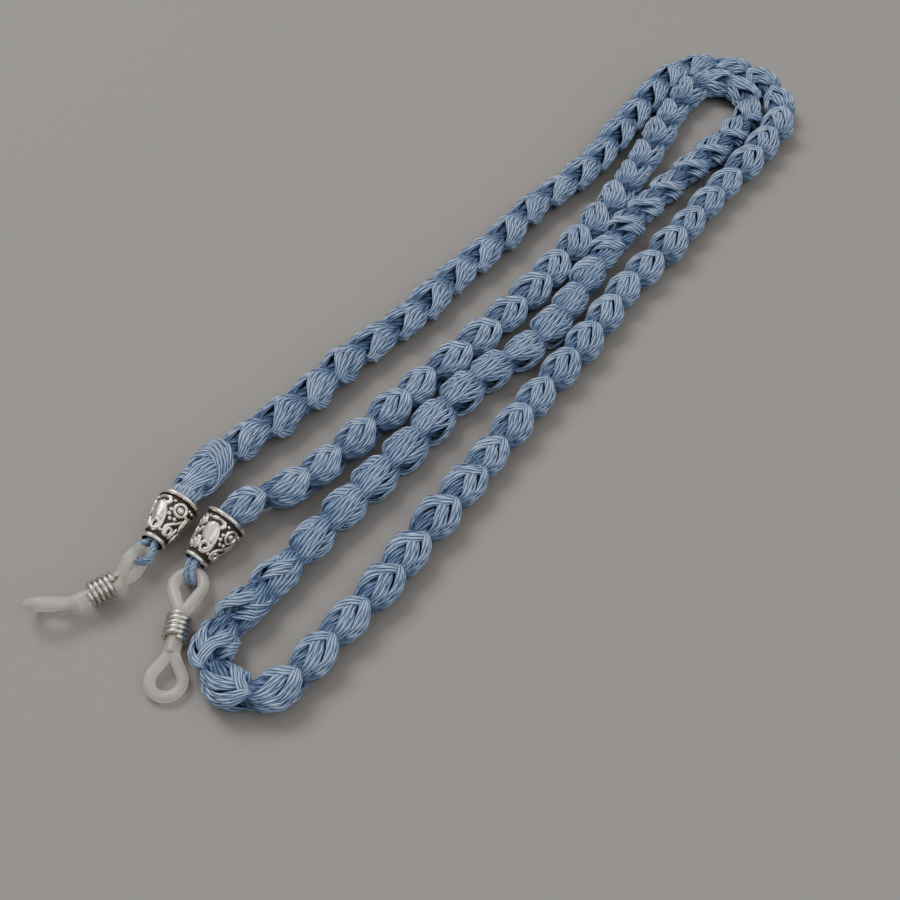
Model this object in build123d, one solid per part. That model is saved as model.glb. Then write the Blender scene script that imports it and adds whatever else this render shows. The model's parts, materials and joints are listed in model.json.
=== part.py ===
from build123d import *

import math
import os

# Eyeglass retainer strap: a crocheted cord folded in half twice, a metal cone bead over
# each end, and on each end a silicone temple holder with a wire coil round its neck.
# Millimetres, +Z up, everything lies on z = 0. The origin is on that surface, under the
# middle of the box round the beads, holders and coils.

# --- driving dimensions -------------------------------------------------------------

CORD_D = 6.8                # crocheted cord, across its puff stitches
CORD_Z = CORD_D / 2         # height of the cord's centreline where it lies flat
ARC_SHARE = 0.45            # how much of the shorter run each arc of the route takes

BEAD_LENGTH = 9.5
BEAD_WIDE_R = 4.2           # outside radius of the wide rim
BEAD_NARROW_R = 2.5         # outside radius of the narrow rim
BEAD_HOLE_R = 1.95          # hole in the narrow end
BEAD_MOUTH_R = 3.5          # open wide end
BEAD_RIM = 0.85             # width of each rim along the bead
BEAD_GROOVE = 0.25          # depth of the groove beside each rim
END_GAP = 1.0               # from a bead's wide rim to the cord's end face

YARN_D = 1.05               # one yarn of the tether
YARN_PITCH = 1.1            # two yarns side by side
TETHER_BEND_R = 1.9         # centreline radius of the tether round the silicone
TETHER_REACH = 2.5          # from the bead's narrow face to the silicone strand's centre
TETHER_SPREAD = 0.55        # half the spacing of the tether's two legs in the bead
TETHER_INSIDE = 1.6         # how far the tether's legs reach into the bead

STRAND_R = 1.025            # silicone strand
NECK_R = 1.45               # silicone neck inside the coil
NECK_SPREAD = 0.4           # half the spacing of the two strands where they leave the neck
UPPER_R = 2.7               # centreline radius of the loop on the tether
TEMPLE_R = 2.75             # centreline radius of the loop for the temple arm
NECK_UP = 3.5               # neck on the tether side of the coil's middle
NECK_DOWN = 4.9             # neck on the temple side of the coil's middle

WIRE_D = 0.9
COIL_R = 1.95               # to the wire's centre
COIL_PITCH = 0.92
COIL_TURNS = 5.5

LIFT = 0.02                 # clearance over the table, so that no piece dips below it
LOOP_ROLL = 2.5             # degrees that holder B's two loops are twisted apart, each

os.makedirs("parts", exist_ok=True)

# --- where the fittings lie ---------------------------------------------------------

# Each end: the middle of the bead's wide rim and of its narrow face, and the middles of
# the silicone strand in the tether, of the coil, and of the strand at the temple loop's tip.


def heading(yaw, pitch=0.0):
    """Unit vector at a yaw from +X and a pitch above the table, in degrees."""
    flat = math.cos(math.radians(pitch))
    return Vector(
        flat * math.cos(math.radians(yaw)),
        flat * math.sin(math.radians(yaw)),
        math.sin(math.radians(pitch)),
    )


class End:
    """The places of one end's fittings, all worked out from its bead."""

    def __init__(self, name, wide, yaw, dip, tether_yaw, coil, tip, upper_side, temple_side):
        self.name = name
        self.wide = Vector(*wide)
        self.out = heading(yaw, -dip)                    # from the wide rim to the narrow face
        self.narrow = self.wide + self.out * BEAD_LENGTH
        self.tether_out = heading(tether_yaw)
        self.strand = self.narrow + self.tether_out * TETHER_REACH
        self.coil = Vector(*coil)
        self.tip = Vector(*tip)
        self.upper_side = upper_side                     # across the loop on the tether
        self.temple_side = temple_side                   # across the temple loop


# Each bead rests on the inner edge of its wide rim, its axis dipping to the narrow end.
RIM_EDGE = BEAD_RIM - 0.15


def wide_height(dip):
    """Height of the wide rim's middle when the rim's inner edge touches the table."""
    angle = math.radians(dip)
    return BEAD_WIDE_R * math.cos(angle) + RIM_EDGE * math.sin(angle) + LIFT


# Bead B lies on both its rims. Its holder lies flat, raised at the coil, tip on the table.
BEAD_B_DIP = 10.4
HOLDER_B_YAW = 265.0
HOLDER_B_COIL = TETHER_REACH + 11.4
HOLDER_B_TIP = TETHER_REACH + 23.5
BEAD_B_WIDE = (15.1, 14.5)
BEAD_B_YAW = 235.2

# Bead A's narrow end is held up by its holder, which lies on its edge and bends sideways.
BEAD_A_WIDE = (5.95, 18.4)
BEAD_A_YAW = 245.3
BEAD_A_DIP = 2.3
TEMPLE_A_LEAN = 66.0        # the temple loop's tilt from lying flat
TEMPLE_A_Z = STRAND_R + TEMPLE_R * math.sin(math.radians(TEMPLE_A_LEAN)) + 3 * LIFT


def end_b():
    wide = Vector(*BEAD_B_WIDE, wide_height(BEAD_B_DIP))
    narrow = wide + heading(BEAD_B_YAW, -BEAD_B_DIP) * BEAD_LENGTH
    along = heading(HOLDER_B_YAW)
    coil = narrow + along * HOLDER_B_COIL
    tip = narrow + along * HOLDER_B_TIP
    return End(
        "b", wide, BEAD_B_YAW, BEAD_B_DIP, HOLDER_B_YAW, coil, (tip.X, tip.Y, STRAND_R + 3 * LIFT),
        heading(HOLDER_B_YAW + 90, LOOP_ROLL), heading(HOLDER_B_YAW + 90, -LOOP_ROLL),
    )


def end_a():
    lean = heading(270, TEMPLE_A_LEAN)
    return End(
        "a", (*BEAD_A_WIDE, wide_height(BEAD_A_DIP)), BEAD_A_YAW, BEAD_A_DIP, 238.0,
        (-5.4, 0.1, TEMPLE_A_Z + 0.1), (-17.4, -2.9, TEMPLE_A_Z), Vector(0, 0, 1), lean,
    )


COIL_YAW_A = 213.0
COIL_YAW_B = HOLDER_B_YAW

# The cord's route from bead A to bead B, on the table: out along the first run, round the
# outer far bend, back to the near bend, out again, round the inner far bend, and back.
ROUTE = [
    (8.5, 23.8, 3.9), (13.8, 31.4, CORD_Z), (26.5, 43.0, CORD_Z), (35.4, 55.2, CORD_Z),
    (47.7, 66.4, CORD_Z), (57.0, 79.7, CORD_Z), (65.7, 88.4, CORD_Z), (72.7, 99.2, CORD_Z),
    (86.7, 112.9, CORD_Z), (97.0, 130.0, CORD_Z),
    (110.3, 150.6, CORD_Z), (123.5, 152.9, CORD_Z), (134.1, 144.8, CORD_Z), (135.4, 131.4, CORD_Z),
    (125.7, 117.9, CORD_Z), (113.7, 103.2, CORD_Z), (103.2, 87.4, CORD_Z), (91.7, 74.4, CORD_Z),
    (83.0, 58.9, CORD_Z), (71.7, 43.9, CORD_Z), (61.7, 28.4, CORD_Z), (50.2, 12.2, CORD_Z),
    (42.7, 0.1, CORD_Z), (35.3, -8.6, CORD_Z),
    (27.8, -19.3, CORD_Z), (21.1, -20.3, CORD_Z), (15.7, -16.2, CORD_Z), (14.9, -9.5, CORD_Z),
    (22.4, -0.2, CORD_Z), (34.2, 15.9, CORD_Z), (46.7, 30.7, CORD_Z), (59.7, 48.7, CORD_Z),
    (72.2, 57.4, CORD_Z), (80.1, 69.4, CORD_Z), (87.2, 84.0, CORD_Z), (96.7, 97.6, CORD_Z),
    (109.2, 111.9, CORD_Z), (120.0, 123.2, CORD_Z),
    (127.7, 133.7, CORD_Z), (127.5, 140.9, CORD_Z), (122.4, 145.7, CORD_Z), (115.3, 144.8, CORD_Z),
    (108.4, 133.9, CORD_Z), (99.7, 115.2, CORD_Z), (87.2, 94.0, CORD_Z), (75.5, 77.6, CORD_Z),
    (63.8, 63.0, CORD_Z), (51.0, 49.2, CORD_Z), (36.8, 33.0, CORD_Z), (26.2, 21.8, CORD_Z),
    (18.7, 19.0, 4.6),
]


# --- crocheted cord -----------------------------------------------------------------


def arc_radii(points):
    """One radius for each corner of a route: as large as its two runs allow."""
    radii = []
    for before, corner, after in zip(points, points[1:], points[2:]):
        turn = (corner - before).get_angle(after - corner)
        shorter = min((corner - before).length, (after - corner).length)
        radii.append(ARC_SHARE * shorter / math.tan(math.radians(turn) / 2))
    return radii


def tube(points, radii, radius):
    """A round tube along straight runs joined by tangent arcs."""
    path = FilletPolyline(*points, radius=radii)
    section = Plane(origin=path @ 0, z_dir=path % 0) * Circle(radius)
    return sweep(section, path=path), path


def crochet_cord(a, b):
    start = a.wide - a.out * END_GAP
    finish = b.wide - b.out * END_GAP
    points = [start] + [Vector(*p) for p in ROUTE] + [finish]
    radii = arc_radii(points)
    cord, path = tube(points, radii, CORD_D / 2)
    runs = [(q - p).length for p, q in zip(points, points[1:])]
    print("cord radii mm:", " ".join(f"{r:.1f}" for r in radii))
    print("cord runs mm:", " ".join(f"{r:.1f}" for r in runs))
    print(f"cord length {path.length:.1f} mm, volume over section x length "
          f"{cord.volume / (math.pi * CORD_D ** 2 / 4 * path.length):.4f}")
    return cord


# --- bead, and the knot inside it ---------------------------------------------------


def turned(profile, origin, axis):
    """A solid of revolution from (along, radius) points, turned about an axis in space."""
    face = make_face(Polyline(*[(x, 0, r) for x, r in profile], close=True))
    solid = revolve(face, axis=Axis.X)
    side = Vector(0, 0, 1).cross(axis)
    return Plane(origin=origin, x_dir=axis, z_dir=axis.cross(side)).location * solid


def cord_bead(end):
    """Cone bead, its axis running from the narrow face to the wide rim."""
    body_start, body_end = BEAD_RIM + 0.45, BEAD_LENGTH - BEAD_RIM - 0.35
    low, high = BEAD_NARROW_R - 0.1, BEAD_WIDE_R - 0.4
    outside = [
        (0.0, BEAD_NARROW_R - 0.2), (0.2, BEAD_NARROW_R), (BEAD_RIM - 0.2, BEAD_NARROW_R),
        (BEAD_RIM, low - BEAD_GROOVE), (body_start - 0.15, low - BEAD_GROOVE), (body_start, low),
    ]
    for share in (0.2, 0.4, 0.6, 0.8):
        swell = 0.22 * math.sin(math.pi * share)
        outside.append((body_start + share * (body_end - body_start), low + share * (high - low) + swell))
    outside += [
        (body_end, high), (body_end + 0.15, high - BEAD_GROOVE),
        (BEAD_LENGTH - BEAD_RIM, high - BEAD_GROOVE), (BEAD_LENGTH - BEAD_RIM + 0.15, BEAD_WIDE_R),
        (BEAD_LENGTH - 0.2, BEAD_WIDE_R), (BEAD_LENGTH, BEAD_WIDE_R - 0.2),
    ]
    inside = [
        (BEAD_LENGTH, BEAD_MOUTH_R), (BEAD_LENGTH - 1.2, BEAD_MOUTH_R - 0.4),
        (1.2, BEAD_HOLE_R), (0.35, BEAD_HOLE_R), (0.0, BEAD_HOLE_R + 0.3),
    ]
    return turned(outside + inside, end.narrow, -end.out)


def stopper_knot(end):
    """The cord's knotted end, from the tether's legs to the cord's end face."""
    profile = [
        (TETHER_INSIDE, 0.0), (TETHER_INSIDE, 1.35), (3.2, 1.75), (4.8, 2.15), (6.2, 2.4),
        (7.2, 2.35), (8.2, 2.0), (9.0, 2.1), (BEAD_LENGTH + END_GAP, 2.6), (BEAD_LENGTH + END_GAP, 0.0),
    ]
    return turned(profile, end.narrow, -end.out)


# --- yarn tether --------------------------------------------------------------------


def tether(end, strand_axis):
    """Two yarns out of the bead, round the silicone strand and back, side by side."""
    along = end.tether_out
    side = strand_axis.cross(along).normalized()
    leave = Vector(0.2, TETHER_SPREAD)
    to_centre = Vector(TETHER_REACH - leave.X, -leave.Y)
    slope = math.asin(TETHER_BEND_R / to_centre.length) - math.atan2(leave.Y, to_centre.X)
    far = TETHER_REACH + TETHER_BEND_R
    rise = leave.Y + (far - leave.X) * math.tan(slope)
    legs = {}
    for sign in (1, -1):
        legs[sign] = [
            end.narrow - end.out * TETHER_INSIDE + side * (sign * TETHER_SPREAD),
            end.narrow + along * leave.X + side * (sign * leave.Y),
            end.narrow + along * far + side * (sign * rise),
        ]
    route = legs[1] + legs[-1][::-1]
    bend = 0.97 * TETHER_BEND_R
    yarns = []
    for shift in (-YARN_PITCH / 2, YARN_PITCH / 2):
        points = [p + strand_axis * shift for p in route]
        yarns.append(tube(points, [0.7, bend, bend, 0.7], YARN_D / 2)[0])
    return Compound(children=yarns)


# --- silicone holder and its coil ---------------------------------------------------


def teardrop(root, apex, side, radius):
    """One loop of the holder: two strands out of the neck that meet at the apex."""
    reach = (apex - root).length
    along = (apex - root).normalized()
    across = (side - along * side.dot(along)).normalized()
    plane = Plane(origin=root, x_dir=along, z_dir=along.cross(across))
    centre = reach - radius
    to_centre = math.hypot(centre, NECK_SPREAD)
    slope = math.asin(radius / to_centre) - math.atan2(NECK_SPREAD, centre)
    rise = NECK_SPREAD + centre * math.tan(slope) + radius * math.tan(slope)
    strands = []
    for sign in (1, -1):
        corners = [(0, sign * NECK_SPREAD), (reach, sign * rise), (reach, 0)]
        points = [plane.from_local_coords(Vector(x, y, 0)) for x, y in corners]
        strands.append(tube(points, [0.985 * radius], STRAND_R)[0])
    return strands


def rod(start, finish, radius):
    """A cylinder between two points."""
    axis = finish - start
    cylinder = Cylinder(radius, axis.length, align=(Align.CENTER, Align.CENTER, Align.MIN))
    return Plane(origin=start, z_dir=axis).location * cylinder


def temple_holder(end, coil_yaw):
    """Silicone holder: a loop on the tether, a neck in the coil, and the temple loop."""
    neck_axis = heading(coil_yaw)
    neck_start = end.coil - neck_axis * NECK_UP
    neck_end = end.coil + neck_axis * NECK_DOWN
    holder = rod(neck_start, neck_end, NECK_R)
    for strand in (
        *teardrop(neck_start, end.strand, end.upper_side, UPPER_R),
        *teardrop(neck_end, end.tip, end.temple_side, TEMPLE_R),
    ):
        holder += strand
    return holder


def wire_coil(end, coil_yaw):
    """Close-wound wire coil round the holder's neck."""
    height = COIL_TURNS * COIL_PITCH
    path = Helix(pitch=COIL_PITCH, height=height, radius=COIL_R)
    section = Plane(origin=path @ 0, z_dir=path % 0) * Circle(WIRE_D / 2)
    coil = Pos(0, 0, -height / 2) * sweep(section, path=path, is_frenet=True)
    return Plane(origin=end.coil, z_dir=heading(coil_yaw)).location * coil


# --- write one file per sub-part ----------------------------------------------------

END_A, END_B = end_a(), end_b()
STRAND_AXIS_A = Vector(0, 0, 1)
STRAND_AXIS_B = heading(HOLDER_B_YAW + 90)

nodes = {"crochet_cord": crochet_cord(END_A, END_B)}
for end, strand_axis, coil_yaw in (
    (END_A, STRAND_AXIS_A, COIL_YAW_A),
    (END_B, STRAND_AXIS_B, COIL_YAW_B),
):
    nodes[f"cord_bead_{end.name}"] = cord_bead(end)
    nodes[f"stopper_knot_{end.name}"] = stopper_knot(end)
    nodes[f"yarn_tether_{end.name}"] = tether(end, strand_axis)
    nodes[f"temple_holder_{end.name}"] = temple_holder(end, coil_yaw)
    nodes[f"wire_coil_{end.name}"] = wire_coil(end, coil_yaw)

for name, shape in nodes.items():
    export_step(shape, f"parts/{name}.step")
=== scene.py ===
"""Eyeglass retainer strap: crocheted cord, cone beads, yarn tethers, temple holders and wire coils.

Everything is in metres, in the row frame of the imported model, which every piece rides on.
"""

import json
import logging
import math
from contextlib import contextmanager
from dataclasses import dataclass, field
from enum import Enum
from typing import Iterable, Iterator, Mapping, Sequence

import bmesh
import bpy
import numpy as np
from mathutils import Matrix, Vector


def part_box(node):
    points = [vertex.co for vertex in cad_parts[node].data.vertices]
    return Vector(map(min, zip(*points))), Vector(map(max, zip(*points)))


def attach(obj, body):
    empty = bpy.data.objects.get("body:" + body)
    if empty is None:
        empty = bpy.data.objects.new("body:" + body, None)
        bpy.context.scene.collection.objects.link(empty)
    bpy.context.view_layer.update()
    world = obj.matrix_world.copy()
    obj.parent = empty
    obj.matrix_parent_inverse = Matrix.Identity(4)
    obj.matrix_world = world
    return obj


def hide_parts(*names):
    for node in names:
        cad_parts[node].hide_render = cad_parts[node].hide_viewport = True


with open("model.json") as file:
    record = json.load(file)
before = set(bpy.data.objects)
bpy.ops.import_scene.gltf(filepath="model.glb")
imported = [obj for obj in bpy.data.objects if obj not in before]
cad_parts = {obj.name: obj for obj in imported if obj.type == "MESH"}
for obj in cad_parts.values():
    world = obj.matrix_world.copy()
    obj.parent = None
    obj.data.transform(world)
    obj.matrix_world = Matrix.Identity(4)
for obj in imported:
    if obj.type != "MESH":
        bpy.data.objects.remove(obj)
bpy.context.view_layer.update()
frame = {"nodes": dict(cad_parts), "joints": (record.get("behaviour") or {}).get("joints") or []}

MM = 0.001
TURN = 2.0 * math.pi
UP = Vector((0.0, 0.0, 1.0))
WELD = 1e-6             # points of a tube that are nearer than this are one
SHARP = 70.0            # degrees between faces from which an edge stays sharp
LOG = logging.getLogger("strap")
Material = bpy.types.Material
Object = bpy.types.Object
Socket = bpy.types.NodeSocket
Sockets = Mapping[str, Socket]
Pair = tuple[float, float]
Triple = tuple[float, float, float]
Rgb = Triple
# One place that a bundle of strands passes: share of the pitch, angle, distance out and half spread.
Knot = tuple[float, float, float, float]


# --- small tools ---


def add_object(name: str, data: bpy.types.ID) -> Object:
    """Links a new object that stands at the origin.

    Args:
        name: The object's name.
        data: Its mesh or curve.

    Returns:
        The new object.
    """
    obj = bpy.data.objects.new(name, data)
    bpy.context.scene.collection.objects.link(obj)
    return obj


def joint(name: str) -> dict:
    """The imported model's joint of that name."""
    return next(j for j in frame["joints"] if j["name"] == name)


def middle(node: str) -> Vector:
    """The middle of a CAD node's box."""
    low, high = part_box(node)
    return (Vector(low) + Vector(high)) / 2


def smoothstep(low: float, high: float, value: np.ndarray) -> np.ndarray:
    """A smooth step from 0 at low to 1 at high."""
    t = np.clip((value - low) / (high - low), 0.0, 1.0)
    return t * t * (3.0 - 2.0 * t)


def line_curve(name: str, lines: Iterable[Sequence[Vector]], kind: str = "NURBS") -> Object:
    """A curve of open lines, with no thickness.

    Args:
        name: The curve's name.
        lines: Each line's control points, in metres.
        kind: NURBS for smooth lines, or POLY for straight pieces from point to point.

    Returns:
        The curve object.
    """
    data = bpy.data.curves.new(name, "CURVE")
    data.dimensions = "3D"
    data.resolution_u = 12
    for points in lines:
        spline = data.splines.new(kind)
        spline.points.add(len(points) - 1)
        for place, point in zip(spline.points, points):
            place.co = (*point, 1.0)
        if kind == "NURBS":
            spline.order_u = 3
            spline.use_endpoint_u = True
    return add_object(name, data)


def curve_points(curve: Object) -> list[Vector]:
    """The points along an unbevelled curve, as Blender evaluates it."""
    mesh = bpy.data.meshes.new_from_object(curve.evaluated_get(bpy.context.evaluated_depsgraph_get()))
    points = [v.co.copy() for v in mesh.vertices]
    bpy.data.meshes.remove(mesh)
    return points


@contextmanager
def edited(mesh: bpy.types.Mesh) -> Iterator[bmesh.types.BMesh]:
    """Opens a mesh for editing and writes it back."""
    work = bmesh.new()
    work.from_mesh(mesh)
    yield work
    work.to_mesh(mesh)
    work.free()


def dress(mesh: bpy.types.Mesh, material: Material) -> None:
    """Gives a mesh one finish and smooth shading."""
    mesh.materials.clear()
    mesh.materials.append(material)
    mesh.polygons.foreach_set("use_smooth", [True] * len(mesh.polygons))


def freeze(source: Object, name: str, material: Material) -> Object:
    """Turns what an object's modifiers make into a plain mesh object, and removes the source.

    Args:
        source: The object that carries the modifiers.
        name: The new piece's name.
        material: The piece's finish.

    Returns:
        The new piece.
    """
    depsgraph = bpy.context.evaluated_depsgraph_get()
    mesh = bpy.data.meshes.new_from_object(
        source.evaluated_get(depsgraph), preserve_all_data_layers=True, depsgraph=depsgraph
    )
    source.modifiers.clear()
    bpy.data.objects.remove(source)
    with edited(mesh) as work:
        bmesh.ops.holes_fill(work, edges=[e for e in work.edges if e.is_boundary], sides=0)
    dress(mesh, material)
    mesh.set_sharp_from_angle(angle=math.radians(SHARP))
    LOG.info("%s: %d faces", name, len(mesh.polygons))
    return add_object(name, mesh)


class Graph:
    """Adds nodes to a node tree and joins them."""

    def __init__(self, tree: bpy.types.NodeTree) -> None:
        """Starts on a tree."""
        self.tree = tree

    def feed(self, node: bpy.types.Node, inputs: Mapping) -> None:
        """Sets inputs of a node, each to a value or to the socket that feeds it."""
        for key, value in inputs.items():
            if isinstance(value, Socket):
                self.tree.links.new(value, node.inputs[key])
            else:
                node.inputs[key].default_value = value

    def node(self, kind: str, inputs: Mapping | None = None, **settings: object) -> bpy.types.Node:
        """Adds one node.

        Args:
            kind: The node's type name.
            inputs: Socket name or number to a value, or to the socket that feeds it.
            settings: The node's own settings.

        Returns:
            The new node.
        """
        node = self.tree.nodes.new(kind)
        for key, value in settings.items():
            setattr(node, key, value)
        self.feed(node, inputs or {})
        return node

    def math(self, operation: str, *values: object) -> Socket:
        """The result of a Math node."""
        return self.node("ShaderNodeMath", dict(enumerate(values)), operation=operation).outputs[0]

    def plus(self, first: object, second: object) -> Socket:
        """The sum of two values."""
        return self.math("ADD", first, second)

    def times(self, first: object, second: object) -> Socket:
        """The product of two values."""
        return self.math("MULTIPLY", first, second)

    def scaled(self, value: Socket, low: float, high: float,
               start: float = 0.0, end: float = 1.0) -> Socket:
        """Runs from low to high while the value runs from start to end, and stays there beyond."""
        return self.node("ShaderNodeMapRange", {0: value, 1: start, 2: end, 3: low, 4: high}).outputs[0]

    def vector(self, operation: str, first: object, second: object = None) -> Socket:
        """The result of a Vector Math node."""
        inputs = {0: first}
        if second is not None:
            inputs["Scale" if operation == "SCALE" else 1] = second
        return self.node("ShaderNodeVectorMath", inputs, operation=operation).outputs["Vector"]

    def xyz(self, *parts: object) -> Socket:
        """The vector with these first parts, and 0 for the rest."""
        return self.node("ShaderNodeCombineXYZ", dict(enumerate(parts))).outputs[0]

    def parts(self, vector: Socket) -> list[Socket]:
        """A vector's three parts."""
        return list(self.node("ShaderNodeSeparateXYZ", {0: vector}).outputs)

    def place(self) -> Socket:
        """Places on the object, in metres."""
        return self.node("ShaderNodeTexCoord").outputs["Object"]

    def noise(self, place: Socket, scale: float, detail: float) -> Socket:
        """A noise texture's strength."""
        inputs = {"Vector": place, "Scale": scale, "Detail": detail}
        return self.node("ShaderNodeTexNoise", inputs).outputs["Fac"]

    def bump(self, height: Socket, strength: float, distance: float) -> Socket:
        """The surface's direction, bumped by a height."""
        inputs = {"Height": height, "Strength": strength, "Distance": distance}
        return self.node("ShaderNodeBump", inputs).outputs[0]

    def ramp(self, value: Socket, *stops: tuple[float, Rgb]) -> Socket:
        """A colour ramp's colour.

        Args:
            value: What drives it.
            stops: Position and colour of each stop.

        Returns:
            The colour socket.
        """
        node = self.node("ShaderNodeValToRGB", {0: value})
        elements = node.color_ramp.elements
        while len(elements) < len(stops):
            elements.new(0.5)
        for element, (position, colour) in zip(elements, stops):
            element.position = position
            element.color = (*colour, 1.0)
        return node.outputs["Color"]

    def attribute(self, name: str) -> Socket:
        """A mesh attribute, as a material reads it."""
        return self.node("ShaderNodeAttribute", attribute_name=name).outputs["Fac"]

    def store(self, geometry: Socket, name: str, value: Socket,
              data_type: str = "FLOAT", domain: str = "POINT") -> Socket:
        """The geometry with a named attribute."""
        inputs = {"Geometry": geometry, "Name": name, "Value": value}
        settings = {"data_type": data_type, "domain": domain}
        return self.node("GeometryNodeStoreNamedAttribute", inputs, **settings).outputs[0]

    def capture(self, curve: Socket, measure: str) -> list[Socket]:
        """A curve, and its own Length or Factor as it is here."""
        node = self.node("GeometryNodeCaptureAttribute", {0: curve})
        node.capture_items.new("FLOAT", measure)
        self.feed(node, {1: self.node("GeometryNodeSplineParameter").outputs[measure]})
        return node.outputs[:2]


def geometry_tree(name: str, sockets: Mapping[str, str]) -> tuple[Graph, Sockets]:
    """A geometry node tree with a geometry input, named inputs and a geometry output.

    Args:
        name: The tree's name.
        sockets: Name and type of each input after the geometry.

    Returns:
        The graph, and the sockets that give the inputs.
    """
    tree = bpy.data.node_groups.new(name, "GeometryNodeTree")
    for label, kind in {"Geometry": "Geometry", **sockets}.items():
        tree.interface.new_socket(label, in_out="INPUT", socket_type=f"NodeSocket{kind}")
    tree.interface.new_socket("Geometry", in_out="OUTPUT", socket_type="NodeSocketGeometry")
    graph = Graph(tree)
    return graph, graph.node("NodeGroupInput").outputs


def finish_tree(graph: Graph, geometry: Socket, material: Socket) -> None:
    """Ends a tree in Realize Instances and Set Material."""
    real = graph.node("GeometryNodeRealizeInstances", {0: geometry})
    dressed = graph.node("GeometryNodeSetMaterial", {"Geometry": real.outputs[0], "Material": material})
    graph.node("NodeGroupOutput", {0: dressed.outputs[0]})


def thicken(graph: Graph, lines: Socket, radius: Socket,
            sides: Socket) -> Socket:
    """Gives lines a round section and a UV map along and around them.

    Args:
        graph: Where to add the nodes.
        lines: The lines.
        radius: The section's radius.
        sides: How many sides the section has.

    Returns:
        The tubes' mesh.
    """
    line, along = graph.capture(lines, "Length")
    edge = graph.node("GeometryNodeCurvePrimitiveLine", {"Start": (0, 0, 0), "End": (1, 0, 0)})
    cut = graph.node("GeometryNodeResampleCurve", {"Curve": edge.outputs[0], "Count": graph.plus(sides, 1.0)})
    ring, around = graph.capture(cut.outputs[0], "Factor")
    turn = graph.times(around, -TURN)
    circle = graph.xyz(*(graph.times(graph.math(wave, turn), radius) for wave in ("COSINE", "SINE")))
    bent = graph.node("GeometryNodeSetPosition", {0: ring, "Position": circle})
    tubes = graph.node("GeometryNodeCurveToMesh", {"Curve": line, "Profile Curve": bent.outputs[0]})
    mapped = graph.store(tubes.outputs[0], "UVMap", graph.xyz(along, around), "FLOAT2", "CORNER")
    return graph.node("GeometryNodeMergeByDistance", {"Geometry": mapped, "Distance": WELD}).outputs[0]


def grow(obj: Object, tree: bpy.types.NodeTree, values: dict[str, object]) -> None:
    """Puts a geometry node tree on an object and sets its named inputs.

    Args:
        obj: The object to grow on.
        tree: The tree.
        values: Input name to value.
    """
    modifier = obj.modifiers.new(tree.name, "NODES")
    modifier.node_group = tree
    for item in tree.interface.items_tree:
        if item.in_out == "INPUT" and item.name in values:
            modifier[item.identifier] = values[item.name]


# --- finishes ---


def new_material(name: str) -> tuple[Material, Graph, bpy.types.Node]:
    """A material with an empty Principled shader.

    Args:
        name: The material's name.

    Returns:
        The material, its graph and its shader node.
    """
    material = bpy.data.materials.new(name)
    material.use_nodes = True
    graph = Graph(material.node_tree)
    return material, graph, material.node_tree.nodes["Principled BSDF"]


@dataclass(frozen=True)
class CottonYarn:
    """Mercerised cotton: light blue, with plies that wind along each strand and a soft sheen."""

    # Besides the yarn's own tones, the light end serves as painted highlight and the deep end as painted
    # shade.
    light: Rgb = (0.46, 0.58, 0.79)
    mid: Rgb = (0.118, 0.190, 0.325)
    deep: Rgb = (0.018, 0.037, 0.100)
    plies: float = 5.0
    lay_per_metre: float = 350.0
    fibres_per_metre: float = 5200.0
    # How much the plies, the patches and the fibres lighten the yarn, and how much its depth darkens it. The
    # plies' part is painted highlight on their crests and painted shade in their grooves; the depth's part is
    # painted shade where a strand lies deep.
    ply_shading_tone: float = 0.60
    patch_tone: float = 0.30
    fibre_tone: float = 0.22
    depth_shade_tone: float = 0.50

    def make(self) -> Material:
        """Builds the material, which reads the strands' own UV map and the painted shade stored for how deep
        they lie.
        """
        material, graph, shader = new_material("cotton_yarn")
        along, around = graph.parts(graph.node("ShaderNodeUVMap", uv_map="UVMap").outputs[0])[:2]
        phase = graph.plus(graph.times(along, self.lay_per_metre), graph.times(around, self.plies))
        # Painted highlight on each ply's crest and painted shade in its groove; the same wave is also the
        # bump's height.
        wave = graph.math("ABSOLUTE", graph.math("SINE", graph.times(phase, math.pi)))
        patch = graph.noise(graph.place(), 170.0, 3.0)
        fibre_place = graph.xyz(graph.times(phase, 1.2), graph.times(along, self.fibres_per_metre))
        fibre = graph.noise(fibre_place, 3.0, 4.0)
        # Painted shade: the stored shade darkens strands that lie deep and takes away their sheen.
        shade = graph.attribute("shade")
        tone = graph.plus(graph.times(wave, self.ply_shading_tone), graph.times(patch, self.patch_tone))
        tone = graph.plus(tone, graph.times(fibre, self.fibre_tone))
        tone = graph.math("SUBTRACT", tone, graph.times(shade, self.depth_shade_tone))
        graph.feed(shader, {
            "Base Color": graph.ramp(tone, (0.22, self.deep), (0.66, self.mid), (0.93, self.light)),
            "Normal": graph.bump(graph.plus(wave, graph.times(fibre, 0.35)), 1.0, 0.15 * MM),
            "Roughness": graph.scaled(fibre, 0.42, 0.62),
            "Sheen Weight": graph.scaled(shade, 0.30, 0.03),
            "Sheen Tint": (0.70, 0.83, 1.0, 1.0),
            "Sheen Roughness": 0.45,
            "Specular IOR Level": 0.45})
        return material


@dataclass(frozen=True)
class AntiqueSilver:
    """Cast silver polished on its high places, with black patina in its recesses."""

    bright: Rgb = (0.90, 0.85, 0.76)
    worn: Rgb = (0.43, 0.38, 0.31)
    patina: Rgb = (0.028, 0.022, 0.017)
    grime: float = 0.32

    def make(self) -> Material:
        """Builds the material, which reads the bead's relief attribute."""
        material, graph, shader = new_material("antique_silver")
        grime = graph.math("SUBTRACT", graph.noise(graph.place(), 1400.0, 4.0), 0.5)
        level = graph.plus(graph.attribute("relief"), graph.times(grime, self.grime))
        graph.feed(shader, {
            "Base Color": graph.ramp(level, (0.22, self.patina), (0.42, self.worn), (0.60, self.bright)),
            "Metallic": graph.scaled(level, 0.35, 1.0, 0.15, 0.45),
            "Roughness": graph.scaled(level, 0.62, 0.20, 0.2, 0.75),
            "Normal": graph.bump(graph.noise(graph.place(), 3200.0, 3.0), 0.22, 0.04 * MM)})
        return material


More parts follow.
